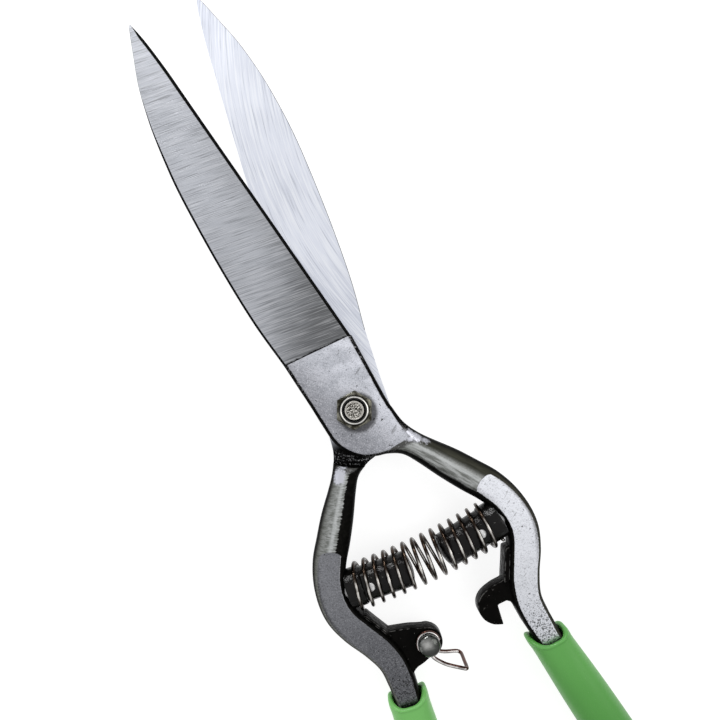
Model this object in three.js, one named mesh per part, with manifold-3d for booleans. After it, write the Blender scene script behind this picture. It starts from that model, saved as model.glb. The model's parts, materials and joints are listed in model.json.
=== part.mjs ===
// Hedge shears: two forged steel halves that cross at a bolt, held open by a coil spring on two pegs,
// with a wire bail on one handle that drops over a hook on the other to keep the blades shut.
// Millimetres, +Z up along the pivot bolt, +Y from the pivot to the blade tips, +X to the right.
// The front (upper) half has its blade on the left and its handle on the right. The rear half is the
// same forging turned half a turn about the length of the tool, so both share every function below.
import * as THREE from "three";
import { mergeVertices } from "three/addons/utils/BufferGeometryUtils.js";
import Module from "manifold-3d";

const wasm = await Module();
wasm.setup();

// Pivot stack: M8 bolt through two lapped plates
const GAP = 0.3;                    // left between pieces that touch
const PLATE = 5;                    // thickness of each lapped plate, and half the handle's thickness
const BOLT_R = 4;
const HEAD_H = 5.3;
const HEX_AF = 13;                  // across flats, bolt head and nut alike
const NUT_H = 6.5;
const COLLAR_H = 1.5;               // round collar that holds the nylon ring
const COLLAR_R = 5.6;
const SHEAR_Z = HEAD_H + GAP + PLATE;   // height of the plane where the blades slide on each other

// Blades
const SHOULDER_Y = 27;              // where the blade is joined to its handle forging
const EDGE_X = 11.3;                // cutting edge at the shoulder
const EDGE_SLOPE = -0.1605;         // sideways run of the straight edge for each mm of length
const EDGE_END_Y = 152;             // the edge is straight up to here
const TIP = [-13.9, 174.3];
const BLADE_T = 4.2;                // thickness at the shoulder
const TIP_T = 2.2;                  // thickness at the tip
const BEVEL_W = 2.5;                // width of the ground bevel beside the cutting edge
const EDGE_LAND = 0.4;              // thickness left at the very edge

// Handles
const SHOULDER_R = 22.5;            // round shoulder that clears the other half's plate
const FLANK = 1.6;                  // rounding of the forged flanks
const GRIP_TILT = 8.3 * Math.PI / 180;
const GRIP_AT = [29.9, -111];       // centre of the handle where it enters the grip
const TAIL_L = 92;                  // length of steel inside the grip
const TAIL_W = [5.1, 3.6];          // half widths of that steel, at the mouth and at its end
const GRIP_L = 105;
const GRIP_FLAT = 0.98;             // grip thickness over its width

// Spring and its pegs
const PEG_AT = [33.4, -62.9];       // where the peg's axis meets the handle's inner flank
const PEG_TILT = 6.3 * Math.PI / 180;
const PEG_R = 7;
const PEG_L = 27.4;
const SEAT_R = 7.7;                 // collar that the last turns of the spring sit round
const SEAT_L = 7;
const STUD_R = 4;
const STUD_L = 20;
const STUD_IN = 6;                  // depth of the stud in the handle
const PIN_R = 1.5;
const PIN_AT = 9.8;                 // distance of the cross pin from the flank
const WIRE_R = 0.7;
const COIL_R = 8.7;                 // radius of the coils at the middle of the wire
const TURNS = 14;
const SPRING_IN = 3.5;              // from the handle's flank to the middle of the spring's end turn

// Catch
const LUG_T = 3;                    // half thickness of the hook and of the ear
const RIVET_AT = [-13.2, -94.2];
const RIVET_R = 2.6;
const RIVET_HEAD = 4.3;
const EAR_R = 5.7;
const BAIL_R = 0.75;
const BAIL_L = 17;                  // rivet to the bail's cross wire
const BAIL_REST = -56.2 * Math.PI / 180;
const EYE_R = 4.25;                 // radius of the eyes at the middle of the wire
const EYE_Z = LUG_T + GAP + BAIL_R;
const BAIL_Z = 7.2;                 // half length of the cross wire

const steel = (color, roughness) =>
  new THREE.MeshStandardMaterial({ color, roughness, metalness: 1 });
const MATERIALS = {
  blade: steel(0x9a9da0, 0.35),
  forging: steel(0xb4b7bc, 0.4),
  zinc: steel(0xb9b097, 0.3),
  nylon: new THREE.MeshStandardMaterial({ color: 0x1c1c1e, roughness: 0.6 }),
  black: new THREE.MeshStandardMaterial({ color: 0x141416, roughness: 0.3, metalness: 0.4 }),
  stud: steel(0x6d6d70, 0.5),
  pin: steel(0xc4c6c8, 0.3),
  spring: steel(0x7a7264, 0.35),
  wire: steel(0xa09184, 0.25),
  grip: new THREE.MeshStandardMaterial({ color: 0x55a84b, roughness: 0.45 }),
};

// ---- helpers: closed geometry to solid and back -------------------------------------------------

function solid(geometry) {
  const bare = geometry.clone();
  bare.deleteAttribute("normal");
  bare.deleteAttribute("uv");
  const merged = mergeVertices(bare, 1e-4);
  const vertProperties = new Float32Array(merged.attributes.position.array);
  const triVerts = new Uint32Array(merged.index.array);
  return new wasm.Manifold(new wasm.Mesh({ numProp: 3, vertProperties, triVerts }));
}

function geometryOf(body) {
  const { vertProperties, triVerts } = body.getMesh();
  const geometry = new THREE.BufferGeometry();
  geometry.setAttribute("position", new THREE.BufferAttribute(vertProperties, 3));
  geometry.setIndex(new THREE.BufferAttribute(triVerts, 1));
  return geometry;
}

const cut = (body, ...tools) => tools.reduce((left, tool) => left.subtract(tool), body);

function piece(name, geometry, material) {
  const mesh = new THREE.Mesh(geometry, MATERIALS[material]);
  mesh.name = name;
  return mesh;
}

const points = (pairs) => pairs.map(([x, y]) => new THREE.Vector2(x, y));

// A plan outline raised from z = low to z = high; grow moves its sides out by that much.
function raise(shape, low, high, { grow = 0, round = 0, segments = 3 } = {}) {
  const geometry = new THREE.ExtrudeGeometry(shape, {
    depth: high - low - 2 * round,
    curveSegments: segments,
    bevelEnabled: round > 0 || grow > 0,
    bevelThickness: round,
    bevelSize: round * 0.8,
    bevelOffset: grow - round * 0.8,
    bevelSegments: 2,
  });
  return geometry.translate(0, 0, low + round);
}

// A round bar along Z from low to high.
function bar(radius, low, high, sides = 24) {
  const geometry = new THREE.CylinderGeometry(radius, radius, high - low, sides);
  return geometry.rotateX(Math.PI / 2).translate(0, 0, (low + high) / 2);
}

// ---- plan outlines of one half ------------------------------------------------------------------

// A point of the grip's own frame, s along it from its mouth and w to its outer side.
function gripPoint(s, w) {
  const x = GRIP_AT[0] + s * Math.sin(GRIP_TILT) + w * Math.cos(GRIP_TILT);
  const y = GRIP_AT[1] - s * Math.cos(GRIP_TILT) + w * Math.sin(GRIP_TILT);
  return [x, y];
}

function tangOutline() {
  const shape = new THREE.Shape();
  shape.moveTo(EDGE_X + 0.2, SHOULDER_Y - GAP / 2);
  shape.lineTo(12.6, 6);
  shape.splineThru(points([
    [13.6, -6], [16.2, -14.5], [21.5, -21.8], [28.6, -30.2], [35.4, -39], [41.3, -47.6],
    [45, -57], [45.9, -66.5], [44.2, -76], [39.3, -85.6], [35.6, -93], [34.3, -100.5],
    gripPoint(0, TAIL_W[0]),
  ]));
  shape.lineTo(...gripPoint(TAIL_L, TAIL_W[1]));
  shape.lineTo(...gripPoint(TAIL_L, -TAIL_W[1]));
  shape.lineTo(...gripPoint(0, -TAIL_W[0]));
  shape.splineThru(points([
    [23.7, -104], [23.4, -95.5], [25.3, -86.8], [29.6, -78], [32.9, -70.8], [33.6, -65],
    [32.1, -58.8], [28.8, -52.8], [24.2, -46.5], [19, -38.6], [13.4, -29.2], [9.6, -24],
    [4.5, -21.2], [0, -20], [-5.5, -17.8], [-10, -13.4], [-12.8, -8], [-14, 0],
  ]));
  shape.lineTo(-17.4, SHOULDER_Y - GAP / 2);
  shape.closePath();
  return shape;
}

function bladeOutline() {
  const heel = SHOULDER_Y + GAP / 2;
  const shape = new THREE.Shape();
  shape.moveTo(EDGE_X, heel);
  const edgeEnd = EDGE_X + EDGE_SLOPE * (EDGE_END_Y - heel);
  shape.lineTo(edgeEnd, EDGE_END_Y);
  shape.quadraticCurveTo(edgeEnd + EDGE_SLOPE * 10, EDGE_END_Y + 10, ...TIP);
  shape.splineThru(points([
    [-15.1, 172.9], [-18.4, 161.5], [-22.4, 147.5], [-24.7, 130], [-25.6, 112], [-25.1, 94],
    [-23.5, 70], [-21, 47], [-17.4, heel],
  ]));
  shape.closePath();
  return shape;
}

// ---- steel of one half --------------------------------------------------------------------------

// A large block whose lower face passes through origin and holds both directions along and up.
function blockAbove(origin, along, up) {
  const x = new THREE.Vector3(...along).normalize();
  const y = new THREE.Vector3(...up).normalize();
  const z = new THREE.Vector3().crossVectors(x, y);
  const frame = new THREE.Matrix4().makeBasis(x, y, z).setPosition(...origin);
  const block = new THREE.BoxGeometry(500, 60, 20).translate(0, 0, 10);
  return solid(block.applyMatrix4(frame));
}

function blade() {
  const low = GAP / 2;
  const body = solid(raise(bladeOutline(), low, low + BLADE_T, { segments: 4 }));
  const length = TIP[1] - SHOULDER_Y;
  const taper = blockAbove([0, SHOULDER_Y, low + BLADE_T], [0, length, TIP_T - BLADE_T], [-1, 0, 0]);
  const rise = BLADE_T - EDGE_LAND;
  const bevel = blockAbove(
    [EDGE_X, SHOULDER_Y, low + EDGE_LAND], [EDGE_SLOPE, 1, 0], [-BEVEL_W, EDGE_SLOPE * BEVEL_W, rise]);
  return cut(body, taper, bevel);
}

function tang() {
  const body = solid(raise(tangOutline(), -PLATE, PLATE, { round: FLANK }));
  const lap = solid(bar(SHOULDER_R, -PLATE - 1, GAP / 2, 48));
  const front = solid(new THREE.BoxGeometry(60, 60, PLATE + 1)
    .translate(0, 30, -(PLATE + 1) / 2 + GAP / 2));
  const bore = solid(bar(BOLT_R + GAP, -PLATE - 1, PLATE + 1));
  const socket = solid(pegPlaced(bar(STUD_R + GAP, -STUD_IN - GAP, 4)));
  return cut(body, lap, front, bore, socket);
}

// ---- spring pegs, each a sleeve on a stud, held by a cross pin ------------------------------------

// Lays a shape that stands on Z along the peg's axis, which leaves the flank towards the other half.
function pegPlaced(geometry) {
  return geometry.rotateY(-Math.PI / 2).rotateZ(PEG_TILT).translate(...PEG_AT, 0);
}

const handleCutter = () => solid(raise(tangOutline(), -PLATE - 3, PLATE + 3, { grow: GAP }));

const pinHole = () => solid(bar(PIN_R + GAP, -10, 10, 16).applyMatrix4(pinFrame()));

function pinFrame() {
  const x = PEG_AT[0] - PIN_AT * Math.cos(PEG_TILT);
  const y = PEG_AT[1] - PIN_AT * Math.sin(PEG_TILT);
  return new THREE.Matrix4().makeTranslation(x, y, 0);
}

function pegStud() {
  return cut(solid(pegPlaced(bar(STUD_R, -STUD_IN, STUD_L))), pinHole());
}

function springPeg() {
  const bore = STUD_R + GAP;
  const deep = STUD_L + GAP;
  const dome = new THREE.QuadraticBezierCurve(
    new THREE.Vector2(PEG_R, PEG_L - 4), new THREE.Vector2(PEG_R, PEG_L), new THREE.Vector2(0, PEG_L));
  const profile = [
    ...points([[0, deep], [bore, deep], [bore, -2], [SEAT_R, -2], [SEAT_R, SEAT_L - 0.5],
      [PEG_R, SEAT_L]]),
    ...dome.getPoints(5),
  ];
  const sleeve = solid(pegPlaced(new THREE.LatheGeometry(profile, 28).rotateX(Math.PI / 2)));
  return cut(sleeve, handleCutter(), pinHole());
}

function pegPin() {
  const end = Math.sqrt(PEG_R ** 2 - PIN_R ** 2);
  return bar(PIN_R, -end, end, 16).applyMatrix4(pinFrame());
}

// ---- lugs and the catch ---------------------------------------------------------------------------

// Hook on the front handle, open towards the grips, with the strip that joins it to the handle.
function hookLug() {
  const shape = new THREE.Shape();
  shape.moveTo(36, -74);
  shape.lineTo(29.2, -74);
  shape.lineTo(24.2, -84.6);
  shape.splineThru(points([
    [19, -85.3], [14.5, -86.4], [11, -89], [9.8, -93.4], [11, -97.4], [16.4, -100.9],
  ]));
  shape.lineTo(17.8, -93);
  shape.lineTo(21.5, -93);
  shape.lineTo(30, -97);
  shape.closePath();
  return cut(solid(raise(shape, -LUG_T, LUG_T, { segments: 4 })), handleCutter());
}

// Ear on the rear handle that carries the rivet, drawn in the rear half's own turned frame.
function catchLug() {
  const [x, y] = [-RIVET_AT[0], RIVET_AT[1]];
  const shape = new THREE.Shape();
  shape.moveTo(36, -74);
  shape.lineTo(29.9, -74);
  shape.lineTo(25.2, -84);
  shape.splineThru(points([[21, -84.9], [18, -86.1], [14.4, -87.6], [x - 1.84, y + 5.39]]));
  shape.absarc(x, y, EAR_R, 1.9, 4.5, false);
  shape.splineThru(points([[15, -100], [18.1, -100.9], [21.3, -101.5], [23.6, -102.9], [24.9, -104.6]]));
  shape.lineTo(30, -105);
  shape.closePath();
  const hole = solid(bar(RIVET_R + GAP / 2, -6, 6, 20).translate(x, y, 0));
  return cut(solid(raise(shape, -LUG_T, LUG_T, { segments: 8 })), handleCutter(), hole);
}

// Rivet with two domed heads; its neck leaves room for the bail's eyes beside the ear.
function catchRivet() {
  const under = LUG_T + 2 * GAP + 2 * BAIL_R;
  const crown = under + 3.4;
  const dome = new THREE.QuadraticBezierCurve(
    new THREE.Vector2(RIVET_HEAD, under + 1.3), new THREE.Vector2(RIVET_HEAD, crown),
    new THREE.Vector2(0, crown));
  const upper = [...points([[RIVET_R, under], [RIVET_HEAD, under]]), ...dome.getPoints(6)];
  const lower = upper.map((p) => new THREE.Vector2(p.x, -p.y)).reverse();
  const body = new THREE.LatheGeometry([...lower, ...upper], 24).rotateX(Math.PI / 2);
  return body.translate(...RIVET_AT, 0);
}

// A round wire bent along a smooth path.
function wire(path, radius, steps, sides) {
  const section = new THREE.Shape();
  section.absarc(0, 0, radius, 0, 2 * Math.PI, false);
  return new THREE.ExtrudeGeometry(section, { extrudePath: path, steps, curveSegments: sides / 2 });
}

// Bail: an eye on each side of the ear, two legs that spread, and the cross wire that takes the hook.
function wireBail() {
  const half = [];
  for (let step = 0; step <= 9; step += 1) {
    const turn = 0.9 + step * 0.5;
    half.push([EYE_R * Math.cos(turn), EYE_R * Math.sin(turn), EYE_Z]);
  }
  half.push([5.4, -EYE_R * 0.88, EYE_Z + 0.2], [9.8, -3, EYE_Z + 1.2], [BAIL_L - 2, -0.6, BAIL_Z - 0.3]);
  half.push([BAIL_L - 0.5, -0.1, BAIL_Z - 0.6], [BAIL_L, 0, BAIL_Z - 2.2]);
  const other = half.map(([x, y, z]) => [x, y, -z]).reverse();
  const route = [...half, [BAIL_L, 0, 0], ...other].map((p) => new THREE.Vector3(...p));
  const path = new THREE.CatmullRomCurve3(route, false, "centripetal");
  return wire(path, BAIL_R, 84, 6).rotateZ(BAIL_REST).translate(...RIVET_AT, 0);
}

// ---- coil spring, on the shallow arc that leads from one peg's axis to the other's ----------------

class CoilPath extends THREE.Curve {
  getPoint(t, target = new THREE.Vector3()) {
    const half = PEG_AT[0] - SPRING_IN * Math.cos(PEG_TILT);
    const arcR = half / Math.sin(PEG_TILT);
    const lean = (2 * t - 1) * PEG_TILT;
    const turn = 2 * Math.PI * TURNS * t;
    const low = PEG_AT[1] - SPRING_IN * Math.sin(PEG_TILT);
    const centreY = low + arcR * Math.cos(PEG_TILT);
    const reach = arcR + COIL_R * Math.cos(turn);
    return target.set(
      reach * Math.sin(lean), centreY - reach * Math.cos(lean), COIL_R * Math.sin(turn));
  }
}

// ---- pivot hardware -------------------------------------------------------------------------------

const hexagon = (low, high) => bar(HEX_AF / Math.sqrt(3), low, high, 6).rotateZ(Math.PI / 6);

// A hexagon with its corners turned off at 30 degrees, as on any machined bolt head or nut.
function turnedHexagon(low, high, top, bottom) {
  const corner = HEX_AF / Math.sqrt(3);
  const fall = (corner - HEX_AF / 2) * 0.58;
  const profile = points([
    [0, low], [bottom ? HEX_AF / 2 : corner, low], [corner + 0.01, low + (bottom ? fall : 0)],
    [corner + 0.01, high - (top ? fall : 0)], [top ? HEX_AF / 2 : corner, high], [0, high],
  ]);
  const turned = solid(new THREE.LatheGeometry(profile, 36).rotateX(Math.PI / 2));
  return solid(hexagon(low, high)).intersect(turned);
}

const NUT_LOW = PLATE + GAP;
const NUT_TOP = NUT_LOW + NUT_H;
const COLLAR_TOP = NUT_TOP + COLLAR_H;

function pivotBolt() {
  const under = -PLATE - GAP;
  const profile = points([
    [0, under - HEAD_H / 2], [BOLT_R, under - HEAD_H / 2], [BOLT_R, COLLAR_TOP - 0.3],
    [BOLT_R - 0.7, COLLAR_TOP + 0.4], [0, COLLAR_TOP + 0.4],
  ]);
  const shank = solid(new THREE.LatheGeometry(profile, 24).rotateX(Math.PI / 2));
  return turnedHexagon(under - HEAD_H, under, false, false).add(shank);
}

function pivotNut() {
  const profile = points([
    [0, NUT_LOW + 1], [COLLAR_R, NUT_LOW + 1], [COLLAR_R, COLLAR_TOP - 0.4],
    [COLLAR_R - 0.4, COLLAR_TOP], [0, COLLAR_TOP],
  ]);
  const collar = solid(new THREE.LatheGeometry(profile, 28).rotateX(Math.PI / 2));
  const bore = solid(bar(BOLT_R + GAP, NUT_LOW - 1, COLLAR_TOP + 1));
  const seat = solid(bar(COLLAR_R - 0.5, NUT_TOP - 1.2, COLLAR_TOP + 1));
  return cut(turnedHexagon(NUT_LOW, NUT_TOP, true, false).add(collar), bore, seat);
}

function nylonRing() {
  const [inner, outer] = [BOLT_R + GAP / 2, COLLAR_R - 0.5 - GAP / 2];
  const [low, high] = [NUT_TOP - 1.2 + GAP / 2, COLLAR_TOP - 0.35];
  const profile = points([[inner, low], [outer, low], [outer, high], [inner, high], [inner, low]]);
  return new THREE.LatheGeometry(profile, 28).rotateX(Math.PI / 2);
}

// ---- grips ----------------------------------------------------------------------------------------

function grip() {
  const half = new THREE.SplineCurve(points([
    [7.7, 0], [8, 8], [8.9, 30], [9.4, 55], [9.2, 80], [8.6, 95],
  ])).getPoints(10);
  const end = new THREE.EllipseCurve(0, GRIP_L - 9, 8.5, 9, 0.12, Math.PI / 2).getPoints(5);
  end[end.length - 1].x = 0;
  const profile = [new THREE.Vector2(0, 0), ...half, ...end].reverse()
    .map((p) => new THREE.Vector2(p.x, -p.y));
  const skin = new THREE.LatheGeometry(profile, 24).scale(1, 1, GRIP_FLAT);
  skin.rotateZ(GRIP_TILT).translate(...GRIP_AT, 0);
  const mouth = new THREE.CylinderGeometry(5.2, 5.2, 40, 24).rotateX(Math.PI / 2).scale(1, 0.8, 1);
  mouth.rotateZ(GRIP_TILT).translate(...GRIP_AT, 0);
  const hollow = new THREE.Shape();
  hollow.moveTo(...gripPoint(-2, -TAIL_W[0] - GAP - 0.1));
  hollow.lineTo(...gripPoint(-2, TAIL_W[0] + GAP + 0.1));
  hollow.lineTo(...gripPoint(TAIL_L + GAP, TAIL_W[1] + GAP));
  hollow.lineTo(...gripPoint(TAIL_L + GAP, -TAIL_W[1] - GAP));
  hollow.closePath();
  return cut(solid(skin), solid(mouth), solid(raise(hollow, -PLATE - GAP, PLATE + GAP)));
}

// ---- assembly -------------------------------------------------------------------------------------

const bladeGeometry = geometryOf(blade());
const tangGeometry = geometryOf(tang());
const studGeometry = geometryOf(pegStud());
const pegGeometry = geometryOf(springPeg());
const pinGeometry = pegPin();
const gripGeometry = geometryOf(grip());

function half(side, lug) {
  const group = new THREE.Group();
  group.add(
    piece(`${side}_blade`, bladeGeometry, "blade"),
    piece(`${side}_tang`, tangGeometry, "forging"),
    piece(`${side}_peg_stud`, studGeometry, "stud"),
    piece(`${side}_spring_peg`, pegGeometry, "black"),
    piece(`${side}_peg_pin`, pinGeometry, "pin"),
    piece(`${side}_grip`, gripGeometry, "grip"),
    lug,
  );
  return group;
}

const frontHalf = half("front", piece("hook_lug", geometryOf(hookLug()), "black"));
const rearHalf = half("rear", piece("catch_lug", geometryOf(catchLug()), "black"));
rearHalf.rotation.y = Math.PI;

const shears = new THREE.Group();
shears.position.z = SHEAR_Z;
shears.add(
  frontHalf,
  rearHalf,
  piece("pivot_bolt", geometryOf(pivotBolt()), "zinc"),
  piece("pivot_nut", geometryOf(pivotNut()), "zinc"),
  piece("nut_nylon_ring", nylonRing(), "nylon"),
  piece("coil_spring", wire(new CoilPath(), WIRE_R, TURNS * 14, 6), "spring"),
  piece("catch_rivet", catchRivet(), "pin"),
  piece("wire_bail", wireBail(), "wire"),
);

const model = new THREE.Group();
model.add(shears);
export default model;
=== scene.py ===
"""Hedge shears: two like forged halves that cross at a bolt, opened by a coil spring on two pegs,
and held shut by a wire bail on one handle that drops over a hook on the other."""

import json
import math
from types import SimpleNamespace

import bmesh
import bpy
import numpy as np
from mathutils import Matrix, Vector
from mathutils.kdtree import KDTree


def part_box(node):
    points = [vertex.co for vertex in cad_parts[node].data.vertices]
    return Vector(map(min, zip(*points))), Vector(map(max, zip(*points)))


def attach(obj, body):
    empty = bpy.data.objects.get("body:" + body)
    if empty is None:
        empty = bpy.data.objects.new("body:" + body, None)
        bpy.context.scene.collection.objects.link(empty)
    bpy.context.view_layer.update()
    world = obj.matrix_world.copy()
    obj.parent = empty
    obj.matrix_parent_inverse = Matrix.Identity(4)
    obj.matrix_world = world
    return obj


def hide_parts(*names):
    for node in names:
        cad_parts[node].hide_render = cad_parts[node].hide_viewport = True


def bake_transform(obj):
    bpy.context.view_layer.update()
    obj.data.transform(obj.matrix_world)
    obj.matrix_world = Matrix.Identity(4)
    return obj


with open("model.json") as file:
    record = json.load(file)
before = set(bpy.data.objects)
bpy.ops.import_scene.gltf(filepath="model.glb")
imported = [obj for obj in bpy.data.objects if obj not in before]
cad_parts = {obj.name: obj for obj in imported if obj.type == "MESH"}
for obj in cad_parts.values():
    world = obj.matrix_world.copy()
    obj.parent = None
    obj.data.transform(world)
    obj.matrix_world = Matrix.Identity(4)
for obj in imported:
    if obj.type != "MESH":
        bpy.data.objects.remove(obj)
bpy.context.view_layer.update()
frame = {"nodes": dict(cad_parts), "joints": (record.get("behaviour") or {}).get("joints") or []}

# ---------------------------------------------------------------------------------------------
# Bench: a plain white floor that the shears lie on, one wide soft light overhead to the right, two
# weaker ones to the left and a low strip past the tips, which the black pegs mirror. The camera
# looks straight down from a hand's length above the pivot.
MM = 0.001
joints = {joint["name"]: joint for joint in frame["joints"]}
pivot = Vector(joints["pivot"]["pos_m"])
rivet_axis = Vector(joints["bail_swing"]["pos_m"])
scene = bpy.context.scene
scene.view_settings.view_transform = "Standard"

VIEW_TURN = math.radians(-25.6)
VIEW_OFFSET = Vector((0.0039, 0.0032, 0.210))
camera_data = bpy.data.cameras.new("camera")
camera_data.sensor_width = 36
camera_data.lens = 26.5
camera_data.shift_y = 0.053
camera_data.clip_start = 0.01
camera = bpy.data.objects.new("camera", camera_data)
camera.location = pivot + VIEW_OFFSET
camera.rotation_euler = (0, 0, VIEW_TURN)
scene.collection.objects.link(camera)
scene.camera = camera


def soft_light(name, place, size, power, tint=(1, 1, 1), across=None):
    """A soft box that faces the pivot, square or a strip."""
    data = bpy.data.lights.new(name, "AREA")
    data.shape = "RECTANGLE"
    data.size = size
    data.size_y = across or size
    data.energy = power
    data.color = tint
    light = bpy.data.objects.new(name, data)
    light.location = place
    light.rotation_euler = (pivot - Vector(place)).to_track_quat("-Z", "Y").to_euler()
    scene.collection.objects.link(light)


soft_light("overhead_right", (0.80, -0.15, 0.75), 0.7, 2.6, (1.0, 0.99, 0.97))
soft_light("far_left", (-0.85, 0.55, 0.50), 0.6, 0.7, (0.95, 0.97, 1.0))
soft_light("low_left", (-1.0, -0.4, 0.35), 0.5, 1.0)
soft_light("window_strip", (0.05, 1.05, 0.36), 0.6, 5.2, across=0.08)


class Paint:
    """One socket of a material's node tree; sums and products of sockets add their Math nodes."""

    def __init__(self, tree, socket=None):
        self.tree = tree
        self.socket = socket

    def node(self, kind, settings=None, sockets=None, out=0):
        """Any node: its settings first, then a value or a link for each socket that is named."""
        made = self.tree.nodes.new(kind)
        for name, value in (settings or {}).items():
            if name == "stops":
                while len(made.color_ramp.elements) < len(value):
                    made.color_ramp.elements.new(0.5)
                for element, (place, colour) in zip(made.color_ramp.elements, value):
                    element.position = place
                    element.color = colour
            else:
                setattr(made, name, value)
        for key, value in (sockets or {}).items():
            if isinstance(value, Paint):
                self.tree.links.new(value.socket, made.inputs[key])
            else:
                made.inputs[key].default_value = value
        return Paint(self.tree, made.outputs[out])

    def maths(self, operation, first, second):
        return self.node("ShaderNodeMath", {"operation": operation}, {0: first, 1: second})

    def __add__(self, other):
        return self.maths("ADD", self, other)

    def __radd__(self, other):
        return self.maths("ADD", other, self)

    def __sub__(self, other):
        return self.maths("SUBTRACT", self, other)

    def __rsub__(self, other):
        return self.maths("SUBTRACT", other, self)

    def __mul__(self, other):
        return self.maths("MULTIPLY", self, other)

    def __rmul__(self, other):
        return self.maths("MULTIPLY", other, self)

    def __abs__(self):
        return self.node("ShaderNodeMath", {"operation": "ABSOLUTE"}, {0: self})

    def feed(self, shader, name):
        self.tree.links.new(self.socket, shader.inputs[name])


def finish(name, **constants):
    """A new material with its fixed values set: (material, empty paint, its shader)."""
    material = bpy.data.materials.new(name)
    material.use_nodes = True
    shader = material.node_tree.nodes["Principled BSDF"]
    for key, value in constants.items():
        shader.inputs[key.replace("_", " ")].default_value = value
    return material, Paint(material.node_tree), shader


def place_on(paint, stretch=(1, 1, 1), turn=0.0):
    """Coordinates on the piece in metres, each axis multiplied, after a turn about Z."""
    here = paint.node("ShaderNodeTexCoord", out="Object")
    turned = paint.node("ShaderNodeMapping", {}, {"Vector": here, "Rotation": (0, 0, turn)})
    return paint.node("ShaderNodeMapping", {}, {"Vector": turned, "Scale": stretch})


def coordinate(place, axis):
    """The x, y or z of a place, for axis 0, 1 or 2."""
    return place.node("ShaderNodeSeparateXYZ", {}, {0: place}, out=axis)


def facing_up(paint):
    """How far the surface faces up: 1 on top, 0 on a wall, -1 underneath."""
    return coordinate(paint.node("ShaderNodeNewGeometry", out="Normal"), 2)


def distance(place, point):
    return place.node("ShaderNodeVectorMath", {"operation": "DISTANCE"}, {0: place, 1: point}, out="Value")


def from_axis(place, x=0.0, y=0.0):
    """Distance in plan from an upright axis, the pivot's unless another is given."""
    plan = place.node("ShaderNodeMapping", {}, {"Vector": place, "Scale": (1, 1, 0)})
    return distance(plan, (x, y, 0))


def noise(place, scale, detail=3.0, roughness=0.5):
    return place.node("ShaderNodeTexNoise", {},
                      {"Vector": place, "Scale": scale, "Detail": detail, "Roughness": roughness})


def step(value, low, high):
    """A smooth step from 0 to 1 as value goes from low to high."""
    return value.node("ShaderNodeMapRange", {"interpolation_type": "SMOOTHSTEP"},
                      {"Value": value, "From Min": low, "From Max": high})


def within(value, rise_from, rise_to, fall_from, fall_to):
    """1 between two places and 0 outside them, with a smooth step at each."""
    return step(value, rise_from, rise_to) * (1 - step(value, fall_from, fall_to))


def mixed(share, first, second):
    """The first colour, with this share of the second over it."""
    return share.node("ShaderNodeMix", {"data_type": "RGBA"}, {0: share, 6: first, 7: second}, out=2)


def grey(value, red=0.0, blue=0.0):
    return (value + red, value, value + blue, 1.0)


def bump(height, depth):
    """A normal for a relief of this depth in metres where height goes from 0 to 1."""
    return height.node("ShaderNodeBump", {}, {"Height": height, "Distance": depth, "Strength": 1.0},
                       out="Normal")


floor_paper, paint, shader = finish("floor_paper", Roughness=0.9, Specular_IOR_Level=0.0,
                                    Emission_Strength=0.84)
mottle = noise(place_on(paint), 40.0)
mixed(mottle, grey(0.31), grey(0.35)).feed(shader, "Base Color")
mixed(mottle, grey(0.97), grey(1.0)).feed(shader, "Emission Color")
bpy.ops.mesh.primitive_plane_add(size=6, location=(0, 0, -0.0004))
floor = bpy.context.object
floor.name = "floor"
floor.data.materials.append(floor_paper)

world = bpy.data.worlds.new("studio")
world.use_nodes = True
scene.world = world
sky = Paint(world.node_tree)
up = coordinate(sky.node("ShaderNodeTexCoord", out="Generated"), 2)
shade = sky.node("ShaderNodeValToRGB",
                 {"stops": [(0.0, grey(0.35)), (0.4, grey(0.5)), (0.75, grey(0.78)), (1.0, grey(0.80))]},
                 {0: up})
back = world.node_tree.nodes["Background"]
world.node_tree.links.new(shade.socket, back.inputs["Color"])
back.inputs["Strength"].default_value = 1.0

# ---------------------------------------------------------------------------------------------
# Handle forgings: drop-forged mild steel, one for each half, the rear one turned over. The pivot
# plate and the curved bars are belt-ground flat and bright; the flanks and the shank between them
# keep their dark rounded forging skin. The lap below the plate ends in a round shoulder.
HALVES = {      # where each half lies, and its body
    "front": (Matrix.Translation(pivot), "front_half"),
    "rear": (Matrix.Translation(pivot) @ Matrix.Rotation(math.pi, 4, "Y"), "rear_half"),
}
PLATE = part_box("front_tang")[1].z - pivot.z
GRIP_MOUTH = Vector((0.0299, -0.111, 0))
GRIP_TILT = math.radians(8.3)
LAP = 0.15 * MM
SHOULDER_R = 22.5 * MM


def through(rows, spans):
    """A smooth curve through rows of numbers, with this many steps between each two rows."""
    rows = np.asarray(rows, float)
    ends = np.vstack([2 * rows[0] - rows[1], rows, 2 * rows[-1] - rows[-2]])
    t = np.linspace(0, 1, spans, endpoint=False)[:, None]
    out = []
    for a, b, c, d in zip(ends, ends[1:], ends[2:], ends[3:]):
        out.append(0.5 * (2 * b + (c - a) * t + (2 * a - 5 * b + 4 * c - d) * t**2
                          + (3 * b - 3 * c + d - a) * t**3))
    return np.vstack(out + [rows[-1:]])


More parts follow.
